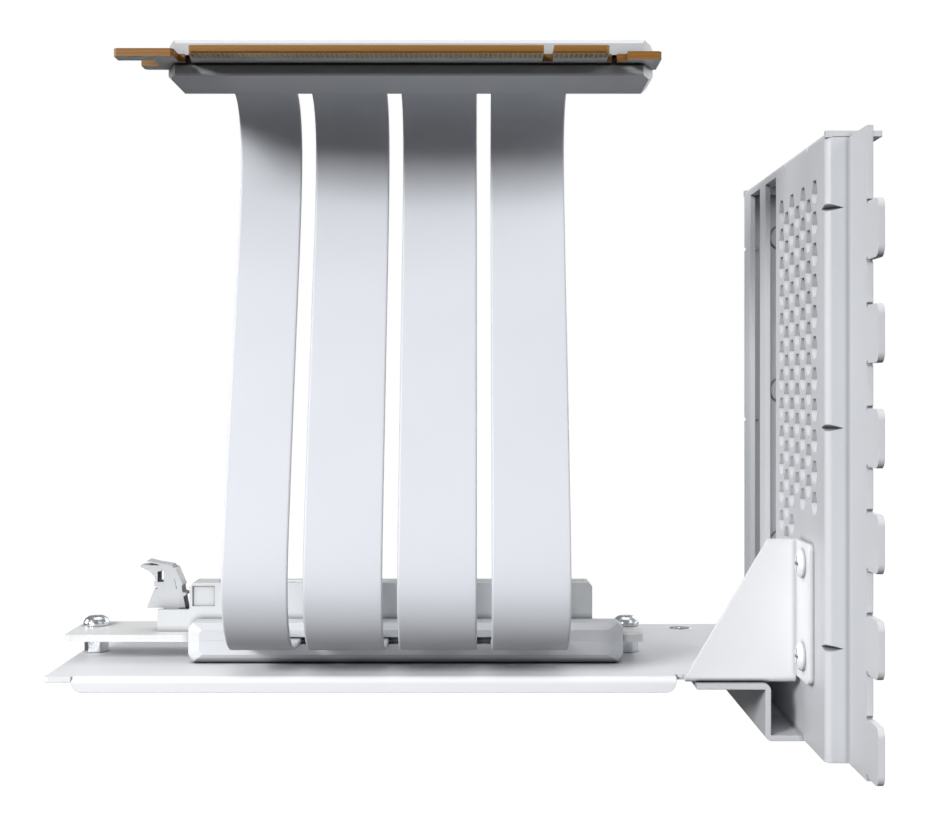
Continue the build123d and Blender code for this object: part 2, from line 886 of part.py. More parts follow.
def base_cover_lower():
    """Lower shell under the cable joints, between the board and the tray."""
    hull = base_hull(base_lower_depth)
    below = block(
        base_cover_left - 1, base_cover_left + base_cover_length + 1, base_cover_front - 1,
        base_cover_front + base_lower_depth + 1, base_cover_bottom - 1, board_middle,
    )
    sunk = Rot(180, 0, 0) * small_sunk_hole()
    holes = [Pos(x, y, base_cover_bottom) * sunk for x, y in cover_screw_places()]
    return (hull & below) - base_board_room() - base_cable_room() - holes


def base_cover_screws():
    """Two small screws up through the lower shell and the board into the upper shell."""
    length = base_cover_height - 1.2
    screw = flat_screw(small_screw_radius, small_head_radius, small_head_height, length)
    turned = Rot(180, 0, 0) * screw
    return group([Pos(x, y, base_cover_bottom) * turned for x, y in cover_screw_places()])


def ribbon_radii():
    """Each corner of the cables' route gets the largest arc that its two runs allow."""
    radii = []
    for index in range(1, len(route) - 1):
        before = (Vector(*route[index]) - Vector(*route[index - 1])).length
        after = (Vector(*route[index + 1]) - Vector(*route[index])).length
        half_turn = math.radians(abs(turn(route, index))) / 2
        radii.append(0.45 * min(before, after) / math.tan(half_turn))
    return radii


def ribbon(left, width):
    """One flat cable along the route."""
    face = strip(route, ribbon_thickness, ribbon_radii())
    return along_x(face, left, left + width)


def ribbon_edges():
    """The left edge and width of each flat cable."""
    edges = []
    left = ribbon_left
    for width in ribbon_widths:
        edges.append((left, width))
        left = left + width + ribbon_gap
    return edges


def plug_screw_places():
    """Where the small screws close the plug's cover."""
    y = plug_cover_front + plug_cover_depth * 0.6
    inset = plug_cover_wall + small_head_radius + 1.6
    return [(plug_cover_left + inset, y), (plug_cover_right - inset, y)]


def plug_board():
    """The plug's circuit board with its two-part card edge and retaining hook."""
    long_right = plug_long_left + plug_long
    short_left = long_right + plug_key
    short_right = short_left + plug_short
    shoulder_left = plug_body_right - plug_shoulder_width
    shoulder_front = plug_body_front - plug_shoulder_reach
    relief_back = plug_body_front + plug_relief_depth
    hook_back = hook_front + hook_bar
    ear_front = hook_back + hook_notch
    neck_left = hook_right - hook_neck
    cut = plug_corner
    outline = polygon(
        (hook_left + cut, hook_front), (hook_right - cut, hook_front),
        (hook_right, hook_front + cut), (hook_right, plug_body_front),
        (plug_long_left - 2 * plug_relief, plug_body_front),
        (plug_long_left - 2 * plug_relief, relief_back),
        (plug_long_left - plug_relief, relief_back), (plug_long_left, plug_tongue_front + 2 * cut),
        (plug_long_left + cut, plug_tongue_front), (long_right, plug_tongue_front),
        (long_right, plug_body_front), (short_left, plug_body_front),
        (short_left, plug_tongue_front), (short_right - cut, plug_tongue_front),
        (short_right, plug_tongue_front + 2 * cut), (short_right, plug_body_front),
        (short_right + plug_relief, plug_body_front), (short_right + plug_relief, relief_back),
        (short_right + 2 * plug_relief, relief_back),
        (short_right + 2 * plug_relief, plug_body_front), (shoulder_left, plug_body_front),
        (shoulder_left, shoulder_front), (plug_body_right - cut, shoulder_front),
        (plug_body_right, shoulder_front + cut), (plug_body_right, plug_ear_back),
        (plug_inner_right, plug_ear_back), (plug_inner_right, plug_body_back),
        (plug_inner_left, plug_body_back), (plug_inner_left, plug_ear_back),
        (plug_body_left + cut, plug_ear_back), (plug_body_left, plug_ear_back - cut),
        (plug_body_left, ear_front), (neck_left, ear_front), (neck_left, hook_back),
        (hook_left, hook_back), (hook_left, hook_front + cut),
    )
    board = along_z(outline, plug_board_bottom, plug_board_top)
    tips = board.edges().filter_by(Axis.X).group_by(Axis.Y)[0]
    board = chamfer(tips, plug_edge_bevel)
    holes = [
        along_z(
            Pos(x, y) * Circle(small_screw_radius + fit), plug_board_bottom - 1, plug_board_top + 1
        )
        for x, y in plug_screw_places()
    ]
    return board - holes


def plug_fingers(z0, z1):
    """A row of flat contact fingers on one face of the card edge."""
    long_right = plug_long_left + plug_long
    short_left = long_right + plug_key
    front = plug_tongue_front + finger_start
    pieces = []
    for low, width in ((plug_long_left, plug_long), (short_left, plug_short)):
        count = int(width / contact_pitch)
        first = low + width / 2 - (count - 1) / 2 * contact_pitch
        for index in range(count):
            x = first + index * contact_pitch
            pieces.append(
                block(x - finger_width / 2, x + finger_width / 2, front, front + finger_length, z0, z1)
            )
    return group(pieces)


def plug_hull():
    """The plug's cover as one block: bevelled edges, and front corners cut back."""
    left, right = plug_cover_left, plug_cover_right
    front, back = plug_cover_front, plug_cover_back
    bottom, top, edge = plug_cover_bottom, plug_cover_top, plug_cover_edge
    outline = polygon(
        (left + plug_end_bevel, bottom), (right - plug_end_bevel, bottom),
        (right, bottom + plug_end_bevel), (right, top - edge), (right - edge, top),
        (left + edge, top), (left, top - edge), (left, bottom + plug_end_bevel),
    )
    section = polygon(
        (front + edge / 2, bottom), (back - edge, bottom), (back, bottom + edge),
        (back, top - edge), (back - edge, top), (front + edge, top),
        (front, top - edge), (front, bottom + edge / 2),
    )
    plan = polygon(
        (left, back), (left, front + plug_nose_depth), (left + plug_nose_width, front),
        (right - plug_nose_width, front), (right, front + plug_nose_depth), (right, back),
    )
    block_of_cover = along_y(outline, front, back) & along_x(section, left, right)
    return block_of_cover & along_z(plan, bottom, top)


def plug_rooms():
    """Room in the plug's cover for the board and for the cables under it."""
    low, high = plug_board_bottom - fit / 2, plug_board_top + fit / 2
    ear_room = block(
        plug_cover_left - 1, plug_cover_right + 1, plug_cover_front - 1, plug_ear_back + fit,
        low, high,
    )
    board_room = block(
        plug_inner_left - fit, plug_inner_right + fit, plug_cover_front - 1,
        plug_body_back + fit, low, high,
    )
    groove = block(
        plug_cover_left - 1, plug_cover_right + 1, plug_cover_front - 1,
        plug_cover_front + plug_groove_depth, plug_board_bottom - plug_groove_height, high,
    )
    cable_end = route[-1][0] - fit
    cable_low = route[-1][1] - ribbon_thickness / 2 - 4 * ribbon_slot_play
    cable_room = cable_slot(cable_end, plug_cover_back + 1, cable_low, plug_board_bottom)
    return [ear_room, board_room, groove, cable_room]


def plug_half(z0, z1):
    """One half of the plug's cover, before its screw holes."""
    span = block(
        plug_cover_left - 1, plug_cover_right + 1, plug_cover_front - 1, plug_cover_back + 1,
        z0, z1,
    )
    return (plug_hull() & span) - plug_rooms()


def plug_cover_upper():
    """Upper shell of the free plug."""
    middle = (plug_board_bottom + plug_board_top) / 2
    holes = [Pos(x, y, plug_cover_top) * small_sunk_hole() for x, y in plug_screw_places()]
    return plug_half(middle, plug_cover_top + 1) - holes


def plug_cover_lower():
    """Lower shell of the free plug, where the cables come in."""
    middle = (plug_board_bottom + plug_board_top) / 2
    holes = []
    for x, y in plug_screw_places():
        spot = Pos(x, y) * Circle(small_screw_radius + fit / 2)
        holes.append(along_z(spot, plug_cover_bottom + 0.8, middle + 1))
    return plug_half(plug_cover_bottom - 1, middle) - holes


def plug_screws():
    """Two small screws that close the plug's cover from above."""
    length = plug_cover_height - 1.2
    screw = flat_screw(small_screw_radius, small_head_radius, small_head_height, length)
    return group([Pos(x, y, plug_cover_top) * screw for x, y in plug_screw_places()])


def write(name, piece):
    """Writes one node's solids to its own file."""
    export_step(piece, f"parts/{name}.step")


def check_ribbons(pieces):
    """Prints the route's radii, and each cable's volume against its section times its length."""
    radii = ribbon_radii()
    print("cable arc radii", [round(radius, 1) for radius in radii])
    length = FilletPolyline(*[Vector(*point) for point in route], radius=radii).length
    print("cable length", round(length, 1))
    for width, piece in zip(ribbon_widths, pieces):
        expected = width * ribbon_thickness * length
        print("cable volume", round(piece.volume, 1), "expected", round(expected, 1))


os.makedirs("parts", exist_ok=True)

write("rear_plate", rear_plate())
write("tray", tray())
write("gusset_screws", gusset_screws())
write("foot_screws", foot_screws())
write("standoffs", standoffs())
write("riser_board", riser_board())
write("board_screws", board_screws())
write("socket_body", socket_body())
write("socket_contacts", socket_contacts())
write("latch", latch())
write("base_cover_upper", base_cover_upper())
write("base_cover_lower", base_cover_lower())
write("base_cover_screws", base_cover_screws())

ribbons = [ribbon(left, width) for left, width in ribbon_edges()]
for number, piece in enumerate(ribbons, start=1):
    write(f"ribbon_{number}", piece)
check_ribbons(ribbons)

write("plug_cover_upper", plug_cover_upper())
write("plug_cover_lower", plug_cover_lower())
write("plug_screws", plug_screws())
write("plug_board", plug_board())
write("plug_fingers_top", plug_fingers(plug_board_top, plug_board_top + finger_thickness))
write("plug_fingers_bottom", plug_fingers(plug_board_bottom - finger_thickness, plug_board_bottom))
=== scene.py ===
# %% [markdown]
# # A riser bracket for a graphics card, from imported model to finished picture
#
# The object is a white steel bracket that holds a graphics card upright in a computer case. A
# perforated plate closes the case's rear wall, a folded tray hangs off it with a card socket on
# top, and four flat cables climb from the socket to a free plug. Nearly every piece is hard and
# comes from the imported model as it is. What is left for Blender is the finish of each surface and
# the soft line of the cables.

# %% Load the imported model
import math

import bmesh
import bpy
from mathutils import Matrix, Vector


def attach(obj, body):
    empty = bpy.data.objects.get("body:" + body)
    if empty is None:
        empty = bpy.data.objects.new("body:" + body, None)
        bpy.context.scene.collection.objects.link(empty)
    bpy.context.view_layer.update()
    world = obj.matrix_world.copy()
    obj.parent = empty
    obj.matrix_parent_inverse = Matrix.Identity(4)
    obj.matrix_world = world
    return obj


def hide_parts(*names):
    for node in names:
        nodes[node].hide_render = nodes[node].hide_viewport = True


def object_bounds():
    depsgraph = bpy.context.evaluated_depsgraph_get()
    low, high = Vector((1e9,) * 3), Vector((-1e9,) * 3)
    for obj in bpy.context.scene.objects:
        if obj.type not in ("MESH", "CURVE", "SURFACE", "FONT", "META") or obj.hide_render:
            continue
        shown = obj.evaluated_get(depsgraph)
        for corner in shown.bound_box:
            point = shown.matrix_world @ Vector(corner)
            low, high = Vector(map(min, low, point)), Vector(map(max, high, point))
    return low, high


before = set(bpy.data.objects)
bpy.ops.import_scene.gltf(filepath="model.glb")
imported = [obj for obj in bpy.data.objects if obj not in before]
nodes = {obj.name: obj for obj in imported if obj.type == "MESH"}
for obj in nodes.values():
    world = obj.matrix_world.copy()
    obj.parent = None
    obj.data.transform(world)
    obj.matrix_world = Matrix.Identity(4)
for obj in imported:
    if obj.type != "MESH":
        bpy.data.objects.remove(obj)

cad_box = [list(corner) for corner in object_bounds()]

# %% [markdown]
# ## Lengths, colours and shader nodes
#
# The scene is in metres, but a part like this is thought of in millimetres, so `mm` turns one
# into the other. Colours are given as sRGB hex codes, and the shader wants them linear.
# Materials are made of nodes, and one small helper that adds a node, sets it and wires it up
# keeps each material short enough to read as a recipe.

# %% Helpers for lengths, colours and nodes
def mm(*values):
    """Millimetres as metres: one number, or a point."""
    metres = [value / 1000 for value in values]
    return metres[0] if len(metres) == 1 else Vector(metres)


def paint(code):
    """The linear colour of an sRGB hex code."""
    shares = [int(code[place:place + 2], 16) / 255 for place in (1, 3, 5)]
    linear = [s / 12.92 if s <= 0.04045 else ((s + 0.055) / 1.055) ** 2.4 for s in shares]
    return (*linear, 1.0)


def grains_per_metre(size):
    """The scale of a noise texture whose grains are so many millimetres wide."""
    return 1000 / size


def bands_per_metre(pitch):
    """The scale of a wave texture whose bands repeat every so many millimetres."""
    # at a scale of 1 the texture has 10 / pi bands to the metre
    return 1000 / pitch * math.pi / 10


def add_node(material, kind, settings=None, links=None):
    """Adds a shader node, sets its sockets and properties, and joins outputs to its inputs."""
    made = material.node_tree.nodes.new(kind)
    for name, value in (settings or {}).items():
        if isinstance(name, int) or name in made.inputs:
            made.inputs[name].default_value = value
        else:
            setattr(made, name, value)
    for name, source in (links or {}).items():
        material.node_tree.links.new(source, made.inputs[name])
    return made


def new_finish(name):
    """A material with a Principled shader, and that shader."""
    material = bpy.data.materials.new(name)
    material.use_nodes = True
    return material, material.node_tree.nodes["Principled BSDF"]


def wire(material, source, shader, socket):
    """Joins one output to a socket of the material's main shader."""
    material.node_tree.links.new(source, shader.inputs[socket])


def painted_gap_shade(material, colour, distance):
    """The colour with painted shade: darker where another surface stands within so many
    millimetres.
    """
    near = add_node(
        material, "ShaderNodeAmbientOcclusion", {"samples": 8, "Distance": mm(distance)},
        {"Color": colour},
    )
    return near.outputs["Color"]


print("white #FFFFFF is", paint("#FFFFFF"))

# %% [markdown]
# ## The camera
#
# The photograph looks straight at the object from the side of its free plug, with the camera
# level. Its lines run to a point a little right of and above the middle, so the lens is shifted
# by that much instead of being turned, which keeps the upright edges parallel. The focal length
# and that point are in pixels of the photograph.

# %% Set up the camera
picture_width, picture_height = 926, 826
focal_pixels = 1508
eye_x, eye_y = 475.5, 389.0
eye_place = (-76.5, -297.6, 11.9)

lens = bpy.data.cameras.new("camera")
lens.sensor_width = 36
lens.lens = focal_pixels / picture_width * lens.sensor_width
lens.shift_x = (picture_width / 2 - eye_x) / picture_width
lens.shift_y = (eye_y - picture_height / 2) / picture_width
camera = bpy.data.objects.new("camera", lens)
camera.location = mm(*eye_place)
camera.rotation_euler = (math.radians(90), 0, 0)
bpy.context.scene.collection.objects.link(camera)
bpy.context.scene.camera = camera
print("lens", round(lens.lens, 1), "mm, shift", round(lens.shift_x, 4), round(lens.shift_y, 4))

# %% [markdown]
# ## The light
#
# The real picture is a studio shot on white. Its strongest light is soft and comes from the front
# left and above, so that corners turned that way shine and the ribs of the plate stay readable.
# Weaker ones fill from the right and from straight above, and one from the left reaches the plate
# past the cables. One behind and one square to the plate keep the far sides pale in other views. A
# lamp that is wide for its distance gives soft shadows.
#
# A low strip lamp grazes the foot and the lower bends of the cables. It has a narrow spread, as a
# lamp with a grid in front has, so it misses the plug, whose underside is a dark grey. The spread
# also gathers its power, so it needs very little. The world adds a pale grey from all round, and
# shows pure white only to the camera.

# %% Hang the lamps
middle = mm(-80, 45, 5)
foot = mm(-40, 30, -60)


def soft_lamp(name, direction, distance, width, level, aim=middle):
    """A square lamp, in metres, that lights a white surface facing it to about this level."""
    lamp = bpy.data.lights.new(name, "AREA")
    lamp.size = width
    lamp.energy = level * (math.pi * distance) ** 2
    holder = bpy.data.objects.new(name, lamp)
    away = Vector(direction).normalized()
    holder.location = aim + away * distance
    holder.rotation_euler = (-away).to_track_quat("-Z", "Y").to_euler()
    bpy.context.scene.collection.objects.link(holder)
    return lamp


soft_lamp("lamp_key", (-0.58, -0.70, 0.38), distance=2.0, width=0.5, level=1.0)
soft_lamp("lamp_left", (-0.97, 0.10, 0.20), distance=1.6, width=0.8, level=0.36)
soft_lamp("lamp_top", (0.05, 0.20, 1.0), distance=1.6, width=1.2, level=0.26)
soft_lamp("lamp_right", (0.66, -0.55, 0.50), distance=2.0, width=0.9, level=0.28)
soft_lamp("lamp_back", (0.55, 0.78, 0.22), distance=2.0, width=1.8, level=0.36)
soft_lamp("lamp_side", (1.0, 0.10, 0.08), distance=2.0, width=1.2, level=0.26)
strip = soft_lamp("lamp_low", (-0.30, -0.95, 0.0), distance=0.7, width=0.5, level=0.005, aim=foot)
strip.shape = "RECTANGLE"
strip.size_y = mm(30)
strip.spread = math.radians(20)

# %% Make the world
def glow_where_seen(material, in_gloss):
    """A level that is 1 to the camera, less in a glossy reflection, and 0 to all other light."""
    ray = add_node(material, "ShaderNodeLightPath")
    looked_at = add_node(
        material, "ShaderNodeMath", {"operation": "MAXIMUM"},
        {0: ray.outputs["Is Camera Ray"], 1: ray.outputs["Is Transmission Ray"]},
    )
    mirrored = add_node(
        material, "ShaderNodeMath", {"operation": "MULTIPLY", 1: in_gloss},
        {0: ray.outputs["Is Glossy Ray"]},
    )
    either = add_node(
        material, "ShaderNodeMath", {"operation": "MAXIMUM"},
        {0: looked_at.outputs[0], 1: mirrored.outputs[0]},
    )
    return either.outputs[0]


world = bpy.data.worlds.new("studio")
world.use_nodes = True
bpy.context.scene.world = world
sky = world.node_tree.nodes["Background"]
sky.inputs["Color"].default_value = paint("#FFFFFF")
where = add_node(world, "ShaderNodeTexCoord")
direction = add_node(world, "ShaderNodeSeparateXYZ", {}, {"Vector": where.outputs["Generated"]})
soft_level = add_node(
    world, "ShaderNodeMapRange", {"From Max": 0.9, "To Min": 0.14, "To Max": 0.36},
    {"Value": direction.outputs["Z"]},
)
strength = add_node(
    world, "ShaderNodeMath", {"operation": "MAXIMUM"},
    {0: glow_where_seen(world, in_gloss=0.26), 1: soft_level.outputs[0]},
)
world.node_tree.links.new(strength.outputs[0], sky.inputs["Strength"])
print("world: soft light from above, little from the sides")

# %% [markdown]
# ## The floor
#
# The bracket hangs in the air in the picture, over plain white. A floor just under it catches
# its shadow in every view. The floor is white to the camera because it glows there, and it is a
# dark grey to everything else, so that it doesn't throw light up under the plug.

# %% Lay the floor
floor_radius = 3.0
floor_drop = mm(14)
floor_mesh = bpy.data.meshes.new("floor")
shape = bmesh.new()
bmesh.ops.create_circle(shape, cap_ends=True, segments=96, radius=floor_radius)
shape.to_mesh(floor_mesh)
shape.free()
floor = bpy.data.objects.new("floor", floor_mesh)
floor.location = (*middle[:2], cad_box[0][2] - floor_drop)
bpy.context.scene.collection.objects.link(floor)

pale_floor, _ = new_finish("pale_studio_floor")
floor_nodes = pale_floor.node_tree.nodes
glow_level = add_node(
    pale_floor, "ShaderNodeMath", {"operation": "MULTIPLY", 1: 0.99},
    {0: glow_where_seen(pale_floor, in_gloss=0.1)},
)
glow = add_node(
    pale_floor, "ShaderNodeEmission", {"Color": paint("#FFFFFF")},
    {"Strength": glow_level.outputs[0]},
)
dull = add_node(pale_floor, "ShaderNodeBsdfDiffuse", {"Color": paint("#383838")})
both = add_node(pale_floor, "ShaderNodeAddShader", {}, {0: glow.outputs[0], 1: dull.outputs[0]})
floor_out = floor_nodes["Material Output"]
pale_floor.node_tree.links.new(both.outputs[0], floor_out.inputs["Surface"])
floor_nodes.remove(floor_nodes["Principled BSDF"])
floor_mesh.materials.append(pale_floor)
print("floor at z", round(floor.location.z * 1000, 1), "mm")

# %% [markdown]
# ## Powder-coated steel
#
# The plate and the tray are steel sheet, sprayed with white powder that melts into an even skin.
# To the eye that is a soft satin white with a very faint orange-peel skin and edges that look
# rounded, because the powder draws back from them. The bevel node rounds the edges' shading
# without touching the imported mesh, and a fine noise gives the skin. The tray is a little whiter
# than the plate. Where two sheets meet, the ambient occlusion node paints shade into the colour,
# a thin dark line in the gap.

# %% Finishes: powder-coated steel
def powder_coat(name, dark, light):
    """Powder-coated sheet: two near tones, an orange-peel skin, soft edges and painted shade in
    gaps.
    """
    material, shader = new_finish(name)
    place = add_node(material, "ShaderNodeTexCoord")
    cloud = add_node(
        material, "ShaderNodeTexNoise", {"Scale": grains_per_metre(28), "Detail": 2.0},
        {"Vector": place.outputs["Object"]},
    )
    tone = add_node(material, "ShaderNodeValToRGB", {}, {"Fac": cloud.outputs["Fac"]})
    tone.color_ramp.elements[0].color = paint(dark)
    tone.color_ramp.elements[1].color = paint(light)
    peel = add_node(
        material, "ShaderNodeTexNoise", {"Scale": grains_per_metre(0.9), "Detail": 1.0},
        {"Vector": place.outputs["Object"]},
    )
    edge = add_node(material, "ShaderNodeBevel", {"samples": 4, "Radius": mm(0.25)})
    skin = add_node(
        material, "ShaderNodeBump", {"Strength": 0.1, "Distance": mm(0.04)},
        {"Height": peel.outputs["Fac"], "Normal": edge.outputs["Normal"]},
    )
    # painted shade: the coat is darker where another sheet stands within 1.2 mm
    shade = painted_gap_shade(material, tone.outputs["Color"], distance=1.2)
    wire(material, shade, shader, "Base Color")
    wire(material, skin.outputs["Normal"], shader, "Normal")
    shader.inputs["Roughness"].default_value = 0.42
    shader.inputs["IOR"].default_value = 1.5
    return material


plate_coat = powder_coat("powder_coated_plate", "#C4C6CA", "#CACCD0")
tray_coat = powder_coat("powder_coated_tray", "#E2E3E6", "#E8E9EC")
print("made", [m.name for m in (plate_coat, tray_coat)])

# %% [markdown]
# ## Zinc-plated steel
#
# The screws and standoffs are steel with a thin bright zinc plate: a cool silver that is
# slightly milky, with tiny changes in gloss from handling.

# %% Finish: zinc-plated steel
zinc, shader = new_finish("zinc_plated_steel")
place = add_node(zinc, "ShaderNodeTexCoord")
haze = add_node(
    zinc, "ShaderNodeTexNoise", {"Scale": grains_per_metre(0.8), "Detail": 3.0},
    {"Vector": place.outputs["Object"]},
)
gloss = add_node(
    zinc, "ShaderNodeMapRange", {"To Min": 0.16, "To Max": 0.26}, {"Value": haze.outputs["Fac"]}
)
shader.inputs["Base Color"].default_value = paint("#D5D8DC")
shader.inputs["Metallic"].default_value = 1.0
rounded = add_node(zinc, "ShaderNodeBevel", {"samples": 12, "Radius": mm(0.5)})
wire(zinc, rounded.outputs["Normal"], shader, "Normal")
wire(zinc, gloss.outputs["Result"], shader, "Roughness")
print("made", zinc.name)

# %% [markdown]
# ## Circuit board
#
# A circuit board is glass cloth in epoxy resin, lacquered on both faces and left bare where it
# was cut. White lacquer hides the copper but lets its relief show as a very low pattern. The cut
# edge is a translucent golden brown with the cloth's layers lying in it like the pages of a
# book. The plug's board has both, and its material looks at which way a surface faces. The board
# under the socket is lacquered over its edges too.

# %% Finish: board with bare edges
bare_edge, shader = new_finish("lacquered_board_bare_edge")
place = add_node(bare_edge, "ShaderNodeTexCoord")
layers = add_node(
    bare_edge, "ShaderNodeTexWave",
    {"bands_direction": "Z", "Scale": bands_per_metre(0.79), "Distortion": 1.5},
    {"Vector": place.outputs["Object"]},
)
laminate = add_node(bare_edge, "ShaderNodeValToRGB", {}, {"Fac": layers.outputs["Fac"]})
laminate.color_ramp.elements[0].color = paint("#7D5103")
laminate.color_ramp.elements[1].color = paint("#8F5D07")
facing = add_node(bare_edge, "ShaderNodeNewGeometry")
split = add_node(
    bare_edge, "ShaderNodeSeparateXYZ", {}, {"Vector": facing.outputs["True Normal"]}
)
upright = add_node(bare_edge, "ShaderNodeMath", {"operation": "ABSOLUTE"}, {0: split.outputs["Z"]})
# 1 on the two faces and 0 on the cut edge
is_face = add_node(
    bare_edge, "ShaderNodeMath", {"operation": "GREATER_THAN", 1: 0.9}, {0: upright.outputs[0]}
)
# sockets 6 and 7 of the mix node are its two colours, and output 2 is their mix
board_colour = add_node(
    bare_edge, "ShaderNodeMix", {"data_type": "RGBA", 7: paint("#D6D7D6")},
    {0: is_face.outputs[0], 6: laminate.outputs["Color"]},
)
board_roughness = add_node(
    bare_edge, "ShaderNodeMapRange", {"To Min": 0.5, "To Max": 0.3}, {"Value": is_face.outputs[0]}
)
# painted shade: the board's colour is darker within 4 mm of another surface
shade = painted_gap_shade(bare_edge, board_colour.outputs[2], distance=4)
wire(bare_edge, shade, shader, "Base Color")
wire(bare_edge, board_roughness.outputs["Result"], shader, "Roughness")
shader.inputs["IOR"].default_value = 1.52
print("made", bare_edge.name)

# %% Finish: board lacquered all over
lacquered, shader = new_finish("lacquered_board")
place = add_node(lacquered, "ShaderNodeTexCoord")
relief = add_node(
    lacquered, "ShaderNodeTexNoise", {"Scale": grains_per_metre(1.2), "Detail": 2.0},
    {"Vector": place.outputs["Object"]},
)
traces = add_node(
    lacquered, "ShaderNodeBump", {"Strength": 0.08, "Distance": mm(0.03)},
    {"Height": relief.outputs["Fac"]},
)
tint = add_node(lacquered, "ShaderNodeValToRGB", {}, {"Fac": relief.outputs["Fac"]})
tint.color_ramp.elements[0].color = paint("#DBDCDC")
tint.color_ramp.elements[1].color = paint("#E2E3E3")
# painted shade: the lacquer is darker within 2 mm of another surface
shade = painted_gap_shade(lacquered, tint.outputs["Color"], distance=2)
wire(lacquered, shade, shader, "Base Color")
wire(lacquered, traces.outputs["Normal"], shader, "Normal")
shader.inputs["Roughness"].default_value = 0.4
shader.inputs["IOR"].default_value = 1.52
print("made", lacquered.name)

# %% [markdown]
# ## Moulded plastics
#
# Three plastics show. The socket is glass-filled nylon, white and a little glossy, with a faint
# grain from the fibres. The covers are ABS, moulded against finely sparked steel, so they are
# satin. The latch is a nylon too, in a pale grey. Each gets painted shade, darker where another
# surface stands close. The plug's covers are a darker copy of the ABS whose painted shade reaches
# much farther, to stand for the shade under the whole plug.

# %% Finishes: nylon and ABS
def moulded(name, dark, light, grain_size, roughness, gap):
    """A moulded plastic: two near tones, a fine grain that its mould left, and painted shade."""
    material, shader = new_finish(name)
    place = add_node(material, "ShaderNodeTexCoord")
    grain = add_node(
        material, "ShaderNodeTexNoise", {"Scale": grains_per_metre(grain_size), "Detail": 3.0},
        {"Vector": place.outputs["Object"]},
    )
    tones = add_node(material, "ShaderNodeValToRGB", {}, {"Fac": grain.outputs["Fac"]})
    tones.color_ramp.elements[0].color = paint(dark)
    tones.color_ramp.elements[1].color = paint(light)
    rounded = add_node(material, "ShaderNodeBevel", {"samples": 4, "Radius": mm(0.15)})
    texture = add_node(
        material, "ShaderNodeBump", {"Strength": 0.1, "Distance": mm(0.02)},
        {"Height": grain.outputs["Fac"], "Normal": rounded.outputs["Normal"]},
    )
    # painted shade: darker where another surface stands within gap millimetres
    shade = painted_gap_shade(material, tones.outputs["Color"], distance=gap)
    wire(material, shade, shader, "Base Color")
    wire(material, texture.outputs["Normal"], shader, "Normal")
    shader.inputs["Roughness"].default_value = roughness
    shader.inputs["IOR"].default_value = 1.53
    return material


socket_nylon = moulded(
    "white_glass_filled_nylon", "#CFD1D3", "#D6D8DA", grain_size=0.5, roughness=0.36, gap=1.6
)
cover_abs = moulded(
    "white_satin_abs", "#C9CBCF", "#D0D2D6", grain_size=0.35, roughness=0.4, gap=1.6
)
# the covers' ABS, set darker and with painted shade reaching 14 mm, for the shade under the plug
plug_abs_painted_shade = moulded(
    "white_satin_abs_plug_painted_shade", "#C6C8CC", "#CDCFD3", grain_size=0.35, roughness=0.4, gap=14
)
latch_nylon = moulded(
    "pale_grey_nylon", "#C2C4C7", "#CBCDD0", grain_size=0.5, roughness=0.4, gap=3
)
print("made", [m.name for m in (socket_nylon, cover_abs, plug_abs_painted_shade, latch_nylon)])

# %% [markdown]
# ## Gold-plated contacts
#
# The contact fingers and the springs in the socket are copper alloy under a thin hard gold
# plate. It is a pale gold and smooth, with light wiping marks along the way that the plug slides.

# %% Finish: gold plate
gold, shader = new_finish("hard_gold_plate")
place = add_node(gold, "ShaderNodeTexCoord")
stretched = add_node(
    gold, "ShaderNodeMapping", {"Scale": (1.0, 0.1, 1.0)}, {"Vector": place.outputs["Object"]}
)
wiping = add_node(
    gold, "ShaderNodeTexNoise", {"Scale": grains_per_metre(0.1), "Detail": 2.0},
    {"Vector": stretched.outputs["Vector"]},
)
worn = add_node(
    gold, "ShaderNodeMapRange", {"To Min": 0.2, "To Max": 0.38}, {"Value": wiping.outputs["Fac"]}
)
shader.inputs["Base Color"].default_value = paint("#E3BE6B")
shader.inputs["Metallic"].default_value = 1.0
wire(gold, worn.outputs["Result"], shader, "Roughness")
print("made", gold.name)

# %% [markdown]
# ## Cable jacket
#
# Each flat cable is a row of fine screened wires in a smooth white wrap. It looks cool white and
# satin, and in a low light the wires under the wrap show as faint lines along it. Lines that run
# along a bent cable can't be drawn from its place in space, so the cable's mesh carries UVs: u
# across it in metres, v along it.

# %% Finish: cable jacket
jacket, shader = new_finish("white_cable_wrap")
unrolled = add_node(jacket, "ShaderNodeUVMap", {"uv_map": "along"})
wires = add_node(
    jacket, "ShaderNodeTexWave",
    {"bands_direction": "X", "Scale": bands_per_metre(2.56), "Distortion": 0.0},
    {"Vector": unrolled.outputs["UV"]},
)
soft_tone = add_node(
    jacket, "ShaderNodeTexNoise", {"Scale": grains_per_metre(22), "Detail": 1.0},
    {"Vector": unrolled.outputs["UV"]},
)
wrap_tone = add_node(jacket, "ShaderNodeValToRGB", {}, {"Fac": soft_tone.outputs["Fac"]})
wrap_tone.color_ramp.elements[0].color = paint("#CDD0D6")
wrap_tone.color_ramp.elements[1].color = paint("#D3D6DC")
faint = add_node(
    jacket, "ShaderNodeBump", {"Strength": 0.05, "Distance": mm(0.03)},
    {"Height": wires.outputs["Fac"]},
)
# painted shade: the wrap is darker within 8 mm of another surface, as under the plug
shade = painted_gap_shade(jacket, wrap_tone.outputs["Color"], distance=8)
wire(jacket, shade, shader, "Base Color")
wire(jacket, faint.outputs["Normal"], shader, "Normal")
shader.inputs["Roughness"].default_value = 0.48
shader.inputs["IOR"].default_value = 1.5
print("made", jacket.name)

# %% [markdown]
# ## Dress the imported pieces
#
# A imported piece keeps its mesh. Its material slot is switched to belong to the object, and then
# holds the new finish. Each piece is made of one material, so a short table is enough. It lists
# every piece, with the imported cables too, which the scene replaces further down.

